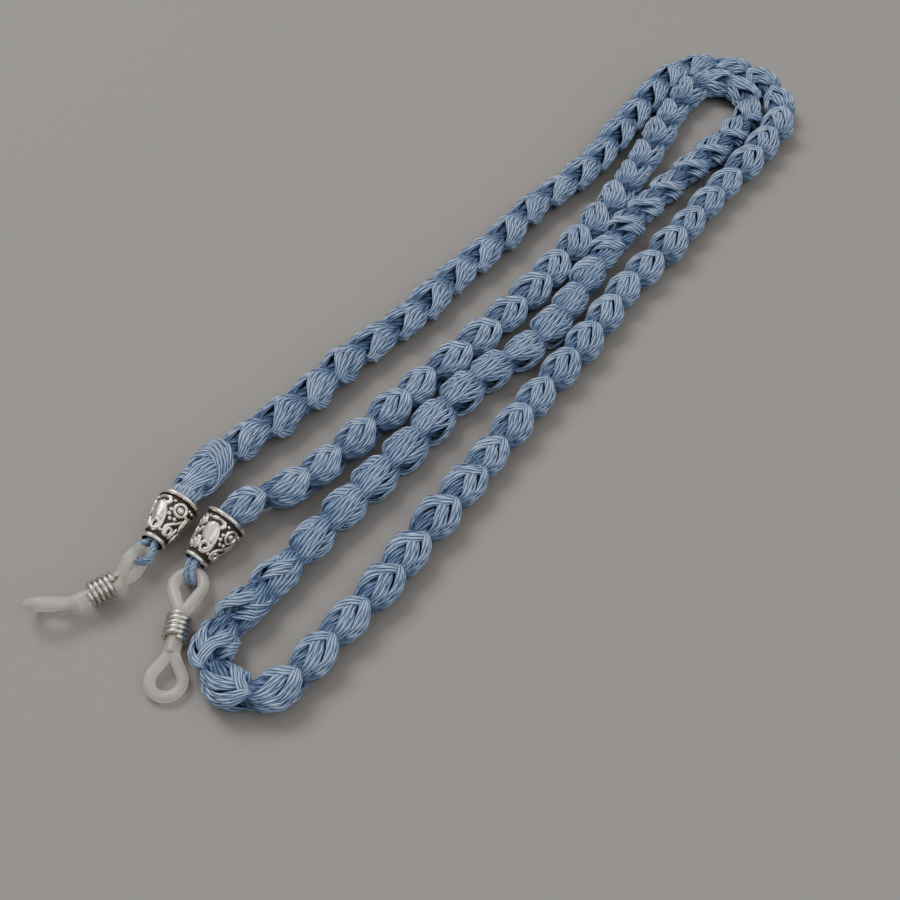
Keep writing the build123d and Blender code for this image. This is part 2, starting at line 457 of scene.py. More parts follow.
@dataclass(frozen=True)
class ClearSilicone:
    """Milky translucent silicone with a faint cloudiness."""

    milk: Rgb = (0.94, 0.90, 0.83)
    cloud: Rgb = (0.87, 0.82, 0.75)

    def make(self) -> Material:
        """Builds the material."""
        material, graph, shader = new_material("clear_silicone")
        cloud = graph.noise(graph.place(), 420.0, 3.0)
        graph.feed(shader, {
            "Base Color": graph.ramp(cloud, (0.35, self.cloud), (0.65, self.milk)),
            "Normal": graph.bump(cloud, 0.12, 0.1 * MM),
            "Roughness": 0.34,
            "IOR": 1.41,
            "Transmission Weight": 0.80,
            "Subsurface Weight": 0.30,
            "Subsurface Radius": (3.0 * MM, 3.0 * MM, 2.6 * MM),
            "Subsurface Scale": 1.0})
        return material


@dataclass(frozen=True)
class BrightWire:
    """Bright nickel wire with fine drawing marks that make it duller in places."""

    bright: Rgb = (0.72, 0.69, 0.63)
    dull: Rgb = (0.40, 0.38, 0.34)

    def make(self) -> Material:
        """Builds the material."""
        material, graph, shader = new_material("bright_wire")
        marks = graph.noise(graph.place(), 1800.0, 4.0)
        graph.feed(shader, {
            "Base Color": graph.ramp(marks, (0.30, self.dull), (0.60, self.bright)),
            "Roughness": graph.scaled(marks, 0.16, 0.34),
            "Normal": graph.bump(marks, 0.10, 0.03 * MM),
            "Metallic": 1.0})
        return material


@dataclass(frozen=True)
class MattFloor:
    """Pale matt card with a faint grain."""

    colour: Rgb = (0.220, 0.207, 0.194)
    grain: float = 0.97

    def make(self) -> Material:
        """Builds the material."""
        material, graph, shader = new_material("matt_floor")
        low = tuple(self.grain * c for c in self.colour)
        grain = graph.noise(graph.place(), 900.0, 2.0)
        graph.feed(shader, {
            "Base Color": graph.ramp(grain, (0.3, low), (0.7, self.colour)),
            "Roughness": 0.75})
        return material


# --- yarn ---


def plied_tree() -> bpy.types.NodeTree:
    """The node tree that winds plies round each line of a curve. It is made once."""
    made = bpy.data.node_groups.get("plied_yarn")
    if made:
        return made
    graph, given = geometry_tree("plied_yarn", {
        "Plies": "Int", "Ply Radius": "Float", "Lay Radius": "Float", "Lay": "Float", "Step": "Float",
        "Sides": "Int", "Shade": "Float", "Material": "Material"})
    fine = graph.node("GeometryNodeResampleCurve", {"Curve": given["Geometry"], "Length": given["Step"]},
                      mode="LENGTH")
    copies = graph.node("GeometryNodeDuplicateElements", {0: fine.outputs[0], "Amount": given["Plies"]},
                        domain="SPLINE")
    run = graph.node("GeometryNodeSplineParameter").outputs["Length"]
    share = graph.math("DIVIDE", copies.outputs["Duplicate Index"], given["Plies"])
    turn = graph.times(graph.plus(share, graph.math("DIVIDE", run, given["Lay"])), TURN)
    tangent = graph.node("GeometryNodeInputTangent").outputs[0]
    normal = graph.node("GeometryNodeInputNormal").outputs[0]
    across = graph.vector("CROSS_PRODUCT", tangent, normal)
    offset = graph.vector("ADD", graph.vector("SCALE", normal, graph.math("COSINE", turn)),
                          graph.vector("SCALE", across, graph.math("SINE", turn)))
    moved = graph.node("GeometryNodeSetPosition", {
        0: copies.outputs[0], "Offset": graph.vector("SCALE", offset, given["Lay Radius"])})
    # Painted shade, the same along the whole yarn.
    shaded = graph.store(moved.outputs[0], "shade", given["Shade"])
    finish_tree(graph, thicken(graph, shaded, given["Ply Radius"], given["Sides"]), given["Material"])
    return graph.tree


@dataclass(frozen=True)
class PliedYarn:
    """A yarn whose plies wind round its line."""

    plies: int
    ply_radius: float
    lay_radius: float
    lay: float              # length of one turn
    step: float             # length of one straight piece
    sides: int
    shade: float            # painted shade for how deep it lies, from 0 to 1

    def spin(self, name: str, lines: Iterable[Sequence[Vector]], cotton: Material) -> Object:
        """Makes the yarn along each line.

        Args:
            name: The piece's name.
            lines: Each line's control points.
            cotton: The piece's finish.

        Returns:
            The piece.
        """
        route = line_curve(f"{name}_route", lines)
        grow(route, plied_tree(), {
            "Plies": self.plies, "Ply Radius": self.ply_radius, "Lay Radius": self.lay_radius,
            "Lay": self.lay, "Step": self.step, "Sides": self.sides, "Shade": self.shade, "Material": cotton})
        return freeze(route, name, cotton)


# --- crocheted cord ---


@dataclass(frozen=True)
class Bundle:
    """Strands that run side by side through one stitch."""

    strands: int
    path: tuple[Knot, ...]


class Face(Enum):
    """The meshes that the crochet is made as."""

    CHAIN = "cord_chain_loops"
    PUFF = "cord_puffs"
    FIRST = "cord_first_stitch"


def side_by_side(strands: int, step: float, path: Sequence[Triple]) -> tuple[Bundle, ...]:
    """Strands that cross the cord next to each other, each one further along it.

    Args:
        strands: How many.
        step: From one to the next, as a share of the pitch.
        path: The first one's places: share of the pitch, angle, distance.

    Returns:
        One bundle for each strand.
    """
    return tuple(Bundle(1, tuple((a + i * step, angle, out, 0) for a, angle, out in path))
                 for i in range(strands))


CHAIN_BUNDLES = (
    # the arch from the loop's tip over to the far edge
    Bundle(3, ((-0.14, 120, 1.45, 7), (0.04, 101, 3.20, 12), (0.22, 72, 3.45, 15),
               (0.42, 44, 3.48, 16), (0.68, 18, 3.05, 14), (1.00, -4, 1.45, 7))),
    # the leg that slants across the middle and dives under both neighbours
    Bundle(3, ((0.00, 76, 1.45, 8), (0.24, 86, 2.95, 14), (0.50, 106, 3.32, 17),
               (0.76, 124, 3.10, 16), (0.96, 134, 2.30, 10), (1.12, 140, 1.45, 7))),
    # the outer lobe, from the tip round to the near edge
    Bundle(4, ((-0.16, 96, 1.45, 7), (0.04, 116, 3.28, 13), (0.26, 146, 3.60, 22),
               (0.52, 170, 3.52, 26), (0.78, 178, 2.80, 20), (1.02, 172, 1.45, 9))),
    # the next loop's strands, seen through the opening between the arch and the leg
    Bundle(3, ((0.26, 82, 1.50, 9), (0.46, 76, 2.22, 15), (0.70, 70, 2.42, 20),
               (0.92, 68, 2.28, 18), (1.14, 70, 1.45, 10))),
)
PUFF_BUNDLES = (
    # the lobes behind the outer lobe, pinched between stitches
    Bundle(3, ((-0.10, 240, 1.40, 10), (0.14, 234, 2.75, 16), (0.42, 226, 3.30, 19),
               (0.72, 221, 3.00, 17), (1.02, 226, 1.40, 10))),
    # long strands that run on from one stitch to the next
    Bundle(4, ((-0.36, 254, 1.45, 12), (-0.04, 264, 2.85, 21), (0.38, 277, 3.25, 25),
               (0.80, 288, 2.90, 22), (1.18, 298, 1.45, 12))),
    # strands under the arch
    Bundle(4, ((-0.20, 312, 1.40, 12), (0.10, 322, 2.70, 21), (0.46, 338, 3.10, 26),
               (0.80, 352, 2.80, 22), (1.12, 362, 1.40, 12))),
    # ribs that come round from the arch
    *side_by_side(3, 0.135, ((0.02, 398, 1.4), (0.15, 370, 3.05), (0.31, 342, 3.45), (0.50, 316, 3.25),
                             (0.68, 296, 1.4))),
)
# The bulky first stitch beside bead A: strands out of the bead, an arch over them and a wrap.
FIRST_STITCH_BUNDLES = (
    Bundle(6, ((-0.30, 190, 2.30, 20), (0.10, 190, 3.20, 26), (0.50, 176, 3.80, 31),
               (0.90, 164, 4.00, 33), (1.20, 158, 3.10, 24))),
    *side_by_side(5, 0.112, ((0.46, 268, 2.9), (0.68, 250, 3.7), (0.90, 220, 4.3), (1.00, 186, 4.6),
                             (0.92, 150, 4.7), (0.70, 118, 4.5), (0.46, 94, 3.8), (0.27, 80, 2.8))),
    *side_by_side(3, 0.11, ((0.20, 292, 2.9), (0.25, 265, 3.6), (0.31, 238, 3.8), (0.36, 212, 2.8))),
)


@dataclass
class CrochetCord:
    """The crocheted cord: interlocking loops on one face and puffs on the other."""

    cotton: Material
    diameter: float = 6.8 * MM
    length: float = 0.775
    pitch: float = 8.7 * MM
    strand_radius: float = 0.45 * MM
    strand_sides: int = 6
    strand_points: int = 13
    lead: float = 4.0 * MM          # how far the strands reach into each bead
    bead_reach: float = 10.5        # millimetres from a bead's narrow face to the cord's end
    seed: int = 7
    flatten: float = 0.86           # height of the cord's section, as a share of its width
    # How far a stitch strays: as a share of the pitch, in radians, and as a share of its distance out.
    wander: Triple = (0.07, 0.20, 0.08)
    looseness: float = 0.8 * MM
    end_share: float = 0.66         # how much of the cord's width is left in the beads
    end_reach: float = 6.5 * MM     # how far from them it is full again
    shaded: Pair = (1.6 * MM, 3.15 * MM)     # where a strand lies deep and its painted shade is full, and where it lies open and has none
    roll_span: float = 720.0        # degrees that the roll curve's 0 to 1 stands for
    # The core yarns inside the cord carry full painted shade.
    core: PliedYarn = PliedYarn(7, 0.62 * MM, 1.36 * MM, 17.0 * MM, 1.2 * MM, 7, 1.0)
    # The route over the table, in millimetres, from bead A to bead B, and how high it lies: at its first
    # point, between them and at its last point. They are the cord's in the CAD.
    route: tuple[Pair, ...] = (
        (8.5, 23.8), (13.8, 31.4), (26.5, 43.0), (35.4, 55.2), (47.7, 66.4), (57.0, 79.7), (65.7, 88.4),
        (72.7, 99.2), (86.7, 112.9), (97.0, 130.0), (110.3, 150.6), (123.5, 152.9), (134.1, 144.8),
        (135.4, 131.4), (125.7, 117.9), (113.7, 103.2), (103.2, 87.4), (91.7, 74.4), (83.0, 58.9),
        (71.7, 43.9), (61.7, 28.4), (50.2, 12.2), (42.7, 0.1), (35.3, -8.6), (27.8, -19.3), (21.1, -20.3),
        (15.7, -16.2), (14.9, -9.5), (22.4, -0.2), (34.2, 15.9), (46.7, 30.7), (59.7, 48.7), (72.2, 57.4),
        (80.1, 69.4), (87.2, 84.0), (96.7, 97.6), (109.2, 111.9), (120.0, 123.2), (127.7, 133.7),
        (127.5, 140.9), (122.4, 145.7), (115.3, 144.8), (108.4, 133.9), (99.7, 115.2), (87.2, 94.0),
        (75.5, 77.6), (63.8, 63.0), (51.0, 49.2), (36.8, 33.0), (26.2, 21.8), (18.7, 19.0),
    )
    heights: Triple = (3.9, 3.4, 4.6)
    # How the cord is rolled about its own line: length from bead A, and degrees.
    rolls: tuple[Pair, ...] = (
        (0.0, -105.0), (0.035, -84.0), (0.065, -118.0), (0.098, -88.0), (0.132, -122.0), (0.170, -80.0),
        (0.205, -28.0), (0.245, 6.0), (0.290, -16.0), (0.335, 12.0), (0.378, -4.0), (0.410, 38.0),
        (0.440, 150.0), (0.482, 182.0), (0.512, 158.0), (0.545, 30.0), (0.575, -6.0), (0.602, -60.0),
        (0.638, -88.0), (0.672, -30.0), (0.705, 14.0), (0.740, -14.0), (0.777, 0.0),
    )

    def ends(self) -> tuple[Vector, Vector]:
        """Where the cord leaves bead A and where it reaches bead B."""
        places = []
        for letter in "ab":
            spin = joint(f"bead_{letter}_spin")
            places.append(Vector(spin["pos_m"]) + Vector(spin["axis"]).normalized() * self.bead_reach * MM)
        return places[0], places[1]

    def points(self) -> list[Vector]:
        """The route's control points in metres, with its two ends."""
        start, finish = self.ends()
        first, flat, last = self.heights
        heights = [first] + [flat] * (len(self.route) - 2) + [last]
        return [start] + [Vector((x, y, z)) * MM for (x, y), z in zip(self.route, heights)] + [finish]

    def stitch(self, bundles: Iterable[Bundle], name: str) -> Object:
        """One stitch's strands as edges, unrolled: along the cord, angle in radians, distance out.

        Args:
            bundles: The bundles of strands.
            name: The new object's name.

        Returns:
            An object with one chain of edges for each strand.
        """
        spots: list[Triple] = []
        edges: list[tuple[int, int]] = []
        for bundle in bundles:
            knots = np.array(bundle.path)
            stations = np.linspace(0.0, len(knots) - 1.0, self.strand_points)
            line = np.stack([self.ease(knots[:, i], stations) for i in range(4)], axis=1)
            for number in range(bundle.strands):
                side = 2.0 * number / (bundle.strands - 1) - 1.0 if bundle.strands > 1 else 0.0
                first = len(spots)
                for along, angle, out, spread in line:
                    lift = 1.0 - 0.05 * side * side + 0.03 * math.cos(7.0 * number + 3.0 * along)
                    spots.append((along * self.pitch, math.radians(angle + side * spread), out * lift * MM))
                edges += [(first + i, first + i + 1) for i in range(self.strand_points - 1)]
        mesh = bpy.data.meshes.new(name)
        mesh.from_pydata(spots, edges, [])
        return add_object(name, mesh)

    @staticmethod
    def ease(values: np.ndarray, stations: np.ndarray) -> np.ndarray:
        """Smooth values between knots, by Catmull-Rom pieces."""
        padded = np.concatenate([[2 * values[0] - values[1]], values, [2 * values[-1] - values[-2]]])
        index = np.clip(stations.astype(int), 0, len(values) - 2)
        t = stations - index
        a, b, c, d = (padded[index + i] for i in range(4))
        square, cube = 2 * a - 5 * b + 4 * c - d, 3 * b - a - 3 * c + d
        return 0.5 * (2 * b + (c - a) * t + square * t ** 2 + cube * t ** 3)

    def tree(self) -> bpy.types.NodeTree:
        """The node tree that repeats a stitch along a route and gives its strands their thickness."""
        graph, given = geometry_tree("crochet", {
            "Stitch": "Object", "Pitch": "Float", "Stitches": "Int", "Strand Radius": "Float", "Sides": "Int",
            "Flatten": "Float", "Start": "Float", "Seed": "Int", "Material": "Material"})
        stitch = graph.node("GeometryNodeObjectInfo", {"Object": given["Stitch"]})
        strands = graph.node("GeometryNodeMeshToCurve", {0: stitch.outputs["Geometry"]})
        row = graph.node("GeometryNodeMeshLine", {
            "Count": given["Stitches"], "Start Location": graph.xyz(given["Start"]),
            "Offset": graph.xyz(given["Pitch"])})
        wander = graph.node("FunctionNodeRandomValue", {
            "Min": [-share for share in self.wander], "Max": self.wander, "Seed": given["Seed"]},
            data_type="FLOAT_VECTOR")
        placed = graph.node("GeometryNodeInstanceOnPoints", {
            "Points": row.outputs["Mesh"], "Instance": strands.outputs[0]})
        kept = graph.store(placed.outputs[0], "wander", wander.outputs["Value"], "FLOAT_VECTOR", "INSTANCE")
        real = graph.node("GeometryNodeRealizeInstances", {0: kept})
        wrapped = self.wrap(graph, given, real.outputs[0])
        tubes = thicken(graph, wrapped, given["Strand Radius"], given["Sides"])
        finish_tree(graph, tubes, given["Material"])
        return graph.tree

    def wrap(self, graph: Graph, given: Sockets,
             strands: Socket) -> Socket:
        """Lays unrolled strands round the route.

        Args:
            graph: Where to add the nodes.
            given: The tree's inputs.
            strands: The unrolled strands.

        Returns:
            The strands, in place.
        """
        run, around, out = graph.parts(graph.node("GeometryNodeInputPosition").outputs[0])
        wander = graph.node("GeometryNodeInputNamedAttribute", {"Name": "wander"}, data_type="FLOAT_VECTOR")
        more_run, more_around, more_out = graph.parts(wander.outputs[0])
        along = graph.plus(run, graph.times(more_run, given["Pitch"]))
        size = graph.node("GeometryNodeCurveLength", {0: given["Geometry"]}).outputs[0]
        inside = graph.math("MINIMUM", graph.math("MAXIMUM", along, 0.0), size)
        sample = graph.node("GeometryNodeSampleCurve", {
            "Curves": given["Geometry"], "Length": inside}, mode="LENGTH", use_all_curves=True)
        tangent = graph.vector("NORMALIZE", sample.outputs["Tangent"])
        side = graph.vector("NORMALIZE", graph.vector("CROSS_PRODUCT", tangent, UP))
        up = graph.vector("CROSS_PRODUCT", side, tangent)
        roll = graph.node("ShaderNodeFloatCurve", {"Value": graph.math("DIVIDE", inside, self.length)})
        self.set_roll(roll.mapping)
        turned = graph.times(graph.math("SUBTRACT", roll.outputs[0], 0.5), math.radians(self.roll_span))
        angle = graph.plus(graph.plus(around, more_around), turned)
        far = graph.times(out, graph.plus(1.0, more_out))
        for reach in (along, graph.math("SUBTRACT", size, along)):
            far = graph.times(far, graph.scaled(reach, self.end_share, 1.0, -self.lead, self.end_reach))
        across = graph.vector("SCALE", side, graph.times(far, graph.math("COSINE", angle)))
        rise = graph.times(graph.times(far, graph.math("SINE", angle)), given["Flatten"])
        beyond = graph.vector("SCALE", tangent, graph.math("SUBTRACT", along, inside))
        centre = graph.vector("ADD", sample.outputs["Position"], beyond)
        place = graph.vector("ADD", graph.vector("ADD", centre, across), graph.vector("SCALE", up, rise))
        loose = graph.node("ShaderNodeTexNoise", {"Vector": place, "Scale": 420.0, "Detail": 1.0})
        offset = graph.vector("SUBTRACT", loose.outputs["Color"], (0.5, 0.5, 0.5))
        x, y, z = graph.parts(graph.vector("ADD", place, graph.vector("SCALE", offset, self.looseness)))
        rest = graph.xyz(x, y, graph.math("MAXIMUM", z, given["Strand Radius"]))
        # Painted shade: the deeper a strand lies in the cord, the darker it is stored.
        shaded = graph.store(strands, "shade", graph.scaled(out, 1.0, 0.0, *self.shaded))
        return graph.node("GeometryNodeSetPosition", {0: shaded, "Position": rest}).outputs[0]

    def set_roll(self, mapping: bpy.types.CurveMapping) -> None:
        """Draws how the cord is turned about its own line, with one turn either way as 0 to 1."""
        curve = mapping.curves[0]
        stops = [(min(s / self.length, 1.0), 0.5 + turn / self.roll_span) for s, turn in self.rolls]
        while len(curve.points) < len(stops):
            curve.points.new(0.5, 0.5)
        for point, place in zip(curve.points, stops):
            point.location = place
            point.handle_type = "AUTO_CLAMPED"
        mapping.update()

    def build(self) -> None:
        tree = self.tree()
        points = self.points()
        line = line_curve("cord_line", [points])
        followed = curve_points(line)
        bpy.data.objects.remove(line)
        length = sum((b - a).length for a, b in zip(followed, followed[1:]))
        LOG.info("cord line %.4f m", length)
        stitches = math.ceil((length + 1.2 * self.lead) / self.pitch)
        for face, bundles, count, start in (
            (Face.CHAIN, CHAIN_BUNDLES, stitches, -self.lead),
            (Face.PUFF, PUFF_BUNDLES, stitches, -self.lead),
            (Face.FIRST, FIRST_STITCH_BUNDLES, 1, 0.0),
        ):
            stitch = self.stitch(bundles, f"stitch_{face.name.lower()}")
            route = line_curve(f"{face.value}_route", [points])
            grow(route, tree, {
                "Stitch": stitch, "Pitch": self.pitch, "Stitches": count, "Start": start,
                "Strand Radius": self.strand_radius, "Sides": self.strand_sides, "Flatten": self.flatten,
                "Seed": self.seed, "Material": self.cotton})
            piece = freeze(route, face.value, self.cotton)
            bpy.data.objects.remove(stitch)
            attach(piece, "cord")
            if face is Face.CHAIN:
                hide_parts("crochet_cord")
        piece = self.core.spin("cord_core_yarns", [points], self.cotton)
        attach(piece, "cord")


# --- one end of the strap ---


class Letter(Enum):
    """The strap's two ends."""

    A = "a"
    B = "b"


@dataclass
class EndPlaces:
    """The places of one end's fittings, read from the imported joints."""

    letter: Letter
    narrow: Vector = field(init=False)      # middle of the bead's narrow face
    axis: Vector = field(init=False)        # from the narrow face to the wide rim
    strand: Vector = field(init=False)      # middle of the silicone strand in the tether
    hinge: Vector = field(init=False)       # along that strand
    slide: Vector = field(init=False)       # along the coil
    coil: Vector = field(init=False)        # middle of the coil

    def __post_init__(self) -> None:
        """Reads the joints."""
        spin = joint(f"bead_{self.letter.value}_spin")
        swing = joint(f"holder_{self.letter.value}_swing")
        self.narrow = Vector(spin["pos_m"])
        self.axis = Vector(spin["axis"]).normalized()
        self.strand = Vector(swing["pos_m"])
        self.hinge = Vector(swing["axis"]).normalized()
        self.slide = Vector(joint(f"coil_{self.letter.value}_slide")["axis"]).normalized()
        self.coil = middle(f"wire_coil_{self.letter.value}")


@dataclass
class Tether:
    """Two plied yarns out of the bead, round the silicone strand and back, and the knot inside."""

    cotton: Material
    spacing: float = 1.04 * MM
    yarn: PliedYarn = PliedYarn(3, 0.27 * MM, 0.27 * MM, 3.4 * MM, 0.18 * MM, 10, 0.0)
    # The knot in the bead carries some painted shade; the tether carries none.
    knot_yarn: PliedYarn = PliedYarn(6, 0.50 * MM, 0.95 * MM, 14.0 * MM, 0.4 * MM, 10, 0.3)
    knot_places: tuple[float, ...] = (1.7, 4.0, 6.5, 10.3)      # millimetres from the bead's narrow face
    depth: float = 1.6              # where the yarns end in the bead, in the same way
    in_bead: float = -3.0           # a control point before this one lies in the bead
    # One yarn's control points, in millimetres from the silicone strand's middle: along, and to one side.
    wrap: tuple[Pair, ...] = (
        (-4.0, 0.45), (-2.6, 0.50), (-1.5, 1.15), (-0.2, 1.75), (1.2, 1.70), (1.80, 0.75),
        (1.80, -0.75), (1.2, -1.70), (-0.2, -1.75), (-1.5, -1.15), (-2.6, -0.50), (-4.0, -0.45),
    )

    def build(self, places: EndPlaces) -> None:
        """Makes one end's tether and knot.

        Args:
            places: Where the end's fittings are.
        """
        letter = places.letter.value
        along = (places.strand - places.narrow).normalized()
        side = places.hinge.cross(along).normalized()
        inside = places.narrow + places.axis * self.depth * MM
        lines = []
        for shift in (-0.5, 0.5):
            points = []
            for forward, out in self.wrap:
                spot = places.strand + along * forward * MM + side * out * MM
                if forward < self.in_bead:
                    spot = inside + side * out * MM
                points.append(spot + places.hinge * shift * self.spacing)
            lines.append(points)
        piece = self.yarn.spin(f"tether_yarns_{letter}", lines, self.cotton)
        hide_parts(f"yarn_tether_{letter}")
        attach(piece, "cord")
        self.knot(places)

    def knot(self, places: EndPlaces) -> None:
        """Makes the twisted knot inside the bead.

        Args:
            places: Where the end's fittings are.
        """
        letter = places.letter.value
        points = [places.narrow + places.axis * x * MM for x in self.knot_places]
        piece = self.knot_yarn.spin(f"end_knot_{letter}", [points], self.cotton)
        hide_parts(f"stopper_knot_{letter}")
        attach(piece, "cord")


@dataclass(frozen=True)
class Ridge:
    """A raised line on the bead: places as degrees round and millimetres from the wide face."""

    places: tuple[Pair, ...]
    half_widths: tuple[float, ...]
    height: float


def curl(centre: Pair, start: float, sweep: float, radii: Pair,
         mean_radius: float) -> tuple[Pair, ...]:
    """A spiral's places on the bead.

    Args:
        centre: Its middle, as degrees round and millimetres from the wide face.
        start: The angle of its first point, in degrees.
        sweep: How far it turns, in degrees.
        radii: Its first and last radius, in millimetres.
        mean_radius: The bead's radius there, in millimetres.

    Returns:
        The places along it.
    """
    places = []
    steps = 18
    for i in range(steps + 1):
        angle = math.radians(start + sweep * i / steps)
        radius = radii[0] + (radii[1] - radii[0]) * i / steps
        places.append((centre[0] + math.degrees(radius * math.cos(angle) / mean_radius),
                       centre[1] + radius * math.sin(angle)))
    return tuple(places)


@dataclass
class ConeBead:
    """Cast cone bead: rolled rims, and leaves, scrolls, bosses and granules repeated round it."""

    silver: Material
    turn: dict[Letter, float] = field(default_factory=lambda: {Letter.A: -20.0, Letter.B: 10.0})
    repeats: int = 3
    sides: int = 264
    rows: int = 170
    length: float = 9.5
    # Outside and inside profile: millimetres from the narrow face, and radius.
    outside: tuple[Pair, ...] = (
        (0.0, 2.20), (0.04, 2.34), (0.18, 2.48), (0.42, 2.55), (0.66, 2.48), (0.80, 2.28), (0.92, 2.08),
        (1.15, 2.06), (1.32, 2.22), (2.6, 2.62), (4.0, 2.98), (5.4, 3.27), (6.8, 3.48), (8.15, 3.58),
        (8.30, 3.46), (8.50, 3.46), (8.62, 3.70), (8.74, 4.04), (8.92, 4.19), (9.12, 4.22), (9.32, 4.16),
        (9.46, 3.98), (9.50, 3.80),
    )
    inside: tuple[Pair, ...] = (
        (9.44, 3.60), (9.2, 3.48), (8.3, 3.14), (6.0, 2.72), (3.5, 2.32), (1.2, 1.95), (0.35, 1.95),
        (0.05, 2.08),
    )
    # Millimetres from the narrow face: where the relief fades in and out, and where the rims' shine does.
    relief_fades: tuple[Pair, ...] = ((1.15, 1.4), (8.05, 8.3))
    rim_fades: tuple[Pair, ...] = ((0.74, 0.90), (8.60, 8.78))
    granule_height: float = 0.36
    dome_power: float = 0.8         # below 1, a ridge is flatter on top than a round one
    full_shine: float = 0.30        # height of relief that is fully polished
    inside_shine: float = 0.12

    def ridges(self) -> list[Ridge]:
        """The raised lines of one repeat."""
        return [
            # hook, open to the left
            Ridge(((-50, 1.80), (-38, 1.45), (-24, 1.38), (-12, 1.62), (-7, 2.15), (-11, 2.68), (-20, 2.80),
                   (-27, 2.55)),
                  (0.30, 0.34, 0.36, 0.38, 0.40, 0.38, 0.32, 0.26), 0.40),
            # leaf, whose edge runs on into the curl below it
            Ridge(((-35, 3.05), (-34, 3.7), (-30, 4.6), (-22, 5.5)), (0.75, 1.40, 1.40, 0.85), 0.46),
            Ridge(((-14, 3.2), (-6, 4.2), (-1, 5.2), (3, 6.2)), (0.28, 0.36, 0.38, 0.34), 0.46),
            Ridge(curl((-18, 6.85), -25.0, 440.0, (1.10, 0.55), 2.78), (0.31,), 0.44),
            Ridge(((-58, 6.2), (-58, 7.2)), (0.62, 0.78), 0.44),
            # boss in its ring
            Ridge(curl((33, 2.80), 0.0, 360.0, (1.14, 1.14), 3.5), (0.28,), 0.40),
            Ridge(((33, 2.80), (33.4, 2.80)), (0.60,), 0.46),
            # band that ends in the second curl
            Ridge(((59, 4.2), (50, 5.0), (38, 5.6), (28, 6.1), (22, 6.7)), (0.26, 0.29, 0.31, 0.29), 0.40),
            Ridge(curl((42, 7.0), 200.0, -430.0, (0.95, 0.42), 2.72), (0.27,), 0.40),
        ]

    @staticmethod
    def granules() -> tuple[Triple, ...]:
        """The granules of one repeat: degrees round, millimetres from the wide face, radius."""
        return ((7, 3.45, 0.38), (9, 4.30, 0.40), (19, 5.00, 0.36), (34, 4.72, 0.36), (5, 1.75, 0.30),
                (58, 1.75, 0.32), (60, 3.1, 0.30), (12, 7.5, 0.30))

    def relief(self, degrees: np.ndarray, down: np.ndarray, radius: np.ndarray) -> np.ndarray:
        """How far the casting stands out of its ground.

        Args:
            degrees: Places round the bead within a repeat.
            down: Distances from the wide face, in millimetres.
            radius: The ground's radius there.

        Returns:
            Heights in millimetres.
        """
        height = np.zeros_like(degrees)
        to_arc = radius * math.pi / 180.0
        for ridge in self.ridges():
            stations = np.linspace(0.0, 1.0, len(ridge.places))
            widths = np.interp(stations, np.linspace(0.0, 1.0, len(ridge.half_widths)), ridge.half_widths)
            for i in range(len(ridge.places) - 1):
                (a0, a1), (b0, b1) = ridge.places[i], ridge.places[i + 1]
                ax, bx = (degrees - a0) * to_arc, (b0 - a0) * to_arc
                ay, by = down - a1, b1 - a1
                share = np.clip((ax * bx + ay * by) / np.maximum(bx * bx + by * by, 1e-9), 0.0, 1.0)
                away = np.hypot(ax - share * bx, ay - share * by)
                wide = widths[i] + (widths[i + 1] - widths[i]) * share
                dome = np.sqrt(np.clip(1.0 - (away / wide) ** 2, 0.0, 1.0))
                height = np.maximum(height, ridge.height * dome ** self.dome_power)
        for place, below, size in self.granules():
            away = np.hypot((degrees - place) * to_arc, down - below)
            dome = np.sqrt(np.clip(1.0 - (away / size) ** 2, 0.0, 1.0))
            height = np.maximum(height, self.granule_height * dome)
        return height

    def build(self, places: EndPlaces) -> None:
        """Makes one bead.

        Args:
            places: Where the end's fittings are.
        """
        letter = places.letter.value
        along = np.linspace(0.0, self.length, self.rows)
        ground = np.interp(along, *zip(*self.outside))
        angles = np.arange(self.sides) * 2.0 * math.pi / self.sides
        cell = 360.0 / self.repeats
        degrees = (np.degrees(angles) - self.turn[places.letter] + cell / 2) % cell - cell / 2
        grid_x, grid_turn = np.meshgrid(along, degrees, indexing="ij")
        grid_ground = np.meshgrid(ground, degrees, indexing="ij")[0]
        height = self.relief(grid_turn, self.length - grid_x, grid_ground)
        fade_in, fade_out = self.relief_fades
        decorated = smoothstep(*fade_in, grid_x) * (1.0 - smoothstep(*fade_out, grid_x))
        height *= decorated
        radii = grid_ground + height
        narrow_rim, wide_rim = self.rim_fades
        rim = 1.0 - smoothstep(*narrow_rim, grid_x) + smoothstep(*wide_rim, grid_x)
        shine = np.clip(height / self.full_shine, 0.0, 1.0) * decorated + rim
        inner = np.array(self.inside)
        xs = np.concatenate([along, inner[:, 0]])
        radii = np.vstack([radii, np.repeat(inner[:, 1:2], self.sides, axis=1)])
        shine = np.vstack([shine, np.full((len(inner), self.sides), self.inside_shine)])
        first = UP.cross(places.axis).normalized()
        second = places.axis.cross(first)
        base, axis = np.array(places.narrow), np.array(places.axis)
        ring = np.outer(np.cos(angles), np.array(first)) + np.outer(np.sin(angles), np.array(second))
        spots = base + xs[:, None, None] * MM * axis + radii[:, :, None] * MM * ring[None]
        rows, sides = len(xs), self.sides
        faces = [(r * sides + c, r * sides + (c + 1) % sides,
                  (r + 1) % rows * sides + (c + 1) % sides, (r + 1) % rows * sides + c)
                 for r in range(rows) for c in range(sides)]
        mesh = bpy.data.meshes.new(f"cast_bead_{letter}")
        mesh.from_pydata(spots.reshape(-1, 3).tolist(), [], faces)
        relief = mesh.attributes.new("relief", "FLOAT", "POINT")
        relief.data.foreach_set("value", shine.ravel().astype(np.float32))
        with edited(mesh) as work:
            bmesh.ops.recalc_face_normals(work, faces=work.faces)
        dress(mesh, self.silver)
        piece = add_object(f"cast_bead_{letter}", mesh)
        LOG.info("%s: %d faces", piece.name, len(mesh.polygons))
        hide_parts(f"cord_bead_{letter}")
        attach(piece, f"bead_{letter}")


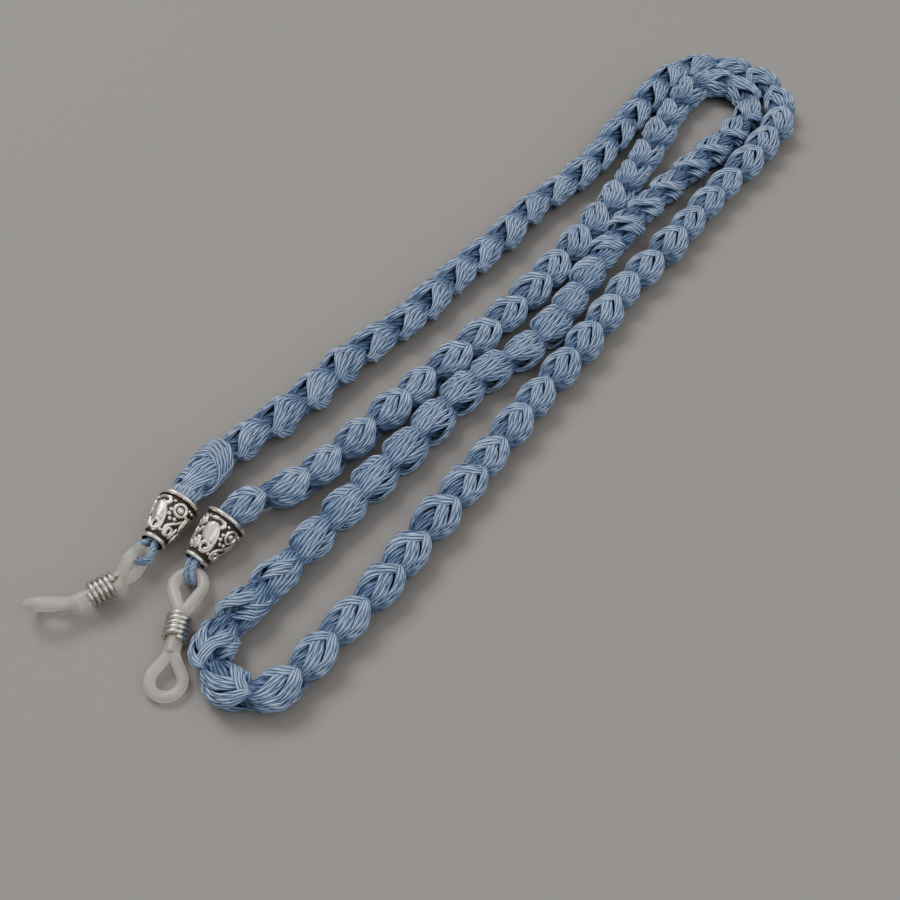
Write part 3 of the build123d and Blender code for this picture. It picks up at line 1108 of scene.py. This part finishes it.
@dataclass
class TempleHolder:
    """Moulded silicone holder, its strands flowing into the neck, and the wire coil on it."""

    silicone: Material
    wire: Material
    voxel: float = 0.13 * MM
    coil_radius: float = 1.95 * MM
    coil_pitch: float = 0.92 * MM
    coil_turns: float = 5.0
    wire_radius: float = 0.44 * MM
    wire_sides: int = 14
    steps_per_turn: int = 28
    first_angle: float = 70.0       # where the coil's first turn begins, in degrees
    # End A's cut tail, in millimetres from the first turn: up, back along the coil, and to one side.
    tail: tuple[Triple, ...] = ((1.9, 0.9, 0.3), (0.9, 0.6, 0.2))

    def build(self, places: EndPlaces) -> None:
        """Makes one holder and its coil.

        Args:
            places: Where the end's fittings are.
        """
        letter = places.letter.value
        mesh = frame["nodes"][f"temple_holder_{letter}"].data.copy()
        with edited(mesh) as work:
            bmesh.ops.remove_doubles(work, verts=work.verts, dist=1e-7)
        mould = add_object(f"holder_mould_{letter}", mesh)
        remesh = mould.modifiers.new("remesh", "REMESH")
        remesh.mode = "VOXEL"
        remesh.voxel_size = self.voxel
        smooth = mould.modifiers.new("smooth", "SMOOTH")
        smooth.factor = 0.5
        smooth.iterations = 9
        piece = freeze(mould, f"silicone_holder_{letter}", self.silicone)
        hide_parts(f"temple_holder_{letter}")
        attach(piece, f"holder_{letter}")
        self.coil(places)

    def coil(self, places: EndPlaces) -> None:
        """Makes one wire coil, with end A's short cut tail standing up.

        Args:
            places: Where the end's fittings are.
        """
        letter = places.letter.value
        side = UP.cross(places.slide).normalized()
        up = places.slide.cross(side)
        half = self.coil_turns * self.coil_pitch / 2
        points = []
        for i in range(round(self.coil_turns * self.steps_per_turn) + 1):
            turn = i / self.steps_per_turn
            angle = TURN * turn + math.radians(self.first_angle)
            ring = (side * math.cos(angle) + up * math.sin(angle)) * self.coil_radius
            points.append(places.coil + places.slide * (turn * self.coil_pitch - half) + ring)
        if places.letter is Letter.A:
            start = points[0]
            points[:0] = [start + up * rise * MM - places.slide * back * MM + side * out * MM
                          for rise, back, out in self.tail]
        route = line_curve(f"coil_route_{letter}", [points], "POLY")
        grow(route, wire_tree(), {
            "Wire Radius": self.wire_radius, "Sides": self.wire_sides, "Material": self.wire})
        piece = freeze(route, f"coil_wire_{letter}", self.wire)
        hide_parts(f"wire_coil_{letter}")
        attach(piece, f"coil_{letter}")


def wire_tree() -> bpy.types.NodeTree:
    """The node tree that gives a line the section of a wire. It is made once."""
    made = bpy.data.node_groups.get("drawn_wire")
    if made:
        return made
    graph, given = geometry_tree("drawn_wire", {
        "Wire Radius": "Float", "Sides": "Int", "Material": "Material"})
    tubes = thicken(graph, given["Geometry"], given["Wire Radius"], given["Sides"])
    finish_tree(graph, tubes, given["Material"])
    return graph.tree


# --- studio ---


@dataclass
class Studio:
    """The floor, the lights and the camera."""

    camera_place: Triple = (0.0552, -0.1146, 0.190)
    camera_tilt: float = 38.0
    lens: float = 50.0
    floor_reach: float = 3.0
    sky: tuple[Pair, ...] = ((0.05, 0.16), (0.85, 0.96))     # how high, and how bright
    sky_strength: float = 0.84
    aim: Triple = (0.06, 0.06, 0.0)     # where both lights point

    def build(self) -> None:
        """Sets up the stage."""
        mesh = bpy.data.meshes.new("floor")
        reach = self.floor_reach
        corners = [(-reach, -reach, 0), (reach, -reach, 0), (reach, reach, 0), (-reach, reach, 0)]
        mesh.from_pydata(corners, [], [(0, 1, 2, 3)])
        mesh.materials.append(MattFloor().make())
        floor = add_object("floor", mesh)
        self.light("key", (-0.42, 0.60, 1.05), 0.62, 11.6)
        self.light("fill", (0.55, -0.30, 0.55), 0.7, 2.8)
        world = bpy.data.worlds.new("studio")
        world.use_nodes = True
        graph = Graph(world.node_tree)
        height = graph.parts(graph.node("ShaderNodeTexCoord").outputs["Generated"])[2]
        sky = graph.ramp(height, *((stop, (grey,) * 3) for stop, grey in self.sky))
        graph.feed(world.node_tree.nodes["Background"], {"Color": sky, "Strength": self.sky_strength})
        bpy.context.scene.world = world
        data = bpy.data.cameras.new("camera")
        data.lens = self.lens
        data.sensor_width = 36.0
        data.clip_start = 0.005
        camera = add_object("camera", data)
        camera.location = self.camera_place
        camera.rotation_euler = (math.radians(self.camera_tilt), 0.0, 0.0)
        bpy.context.scene.camera = camera

    def light(self, name: str, place: Triple, size: float, power: float) -> None:
        """Adds one square soft light that faces the strap."""
        data = bpy.data.lights.new(name, "AREA")
        data.size = size
        data.energy = power
        lamp = add_object(name, data)
        lamp.location = place
        lamp.rotation_euler = (Vector(self.aim) - Vector(place)).to_track_quat("-Z", "Y").to_euler()


def main() -> None:
    """Builds the strap piece by piece, then the studio."""
    logging.basicConfig(level=logging.INFO, format="%(message)s")
    cotton = CottonYarn().make()
    CrochetCord(cotton).build()
    tether = Tether(cotton)
    bead = ConeBead(AntiqueSilver().make())
    holder = TempleHolder(ClearSilicone().make(), BrightWire().make())
    for letter in Letter:
        places = EndPlaces(letter)
        tether.build(places)
        bead.build(places)
        holder.build(places)
    Studio().build()


if __name__ == "__main__":
    main()
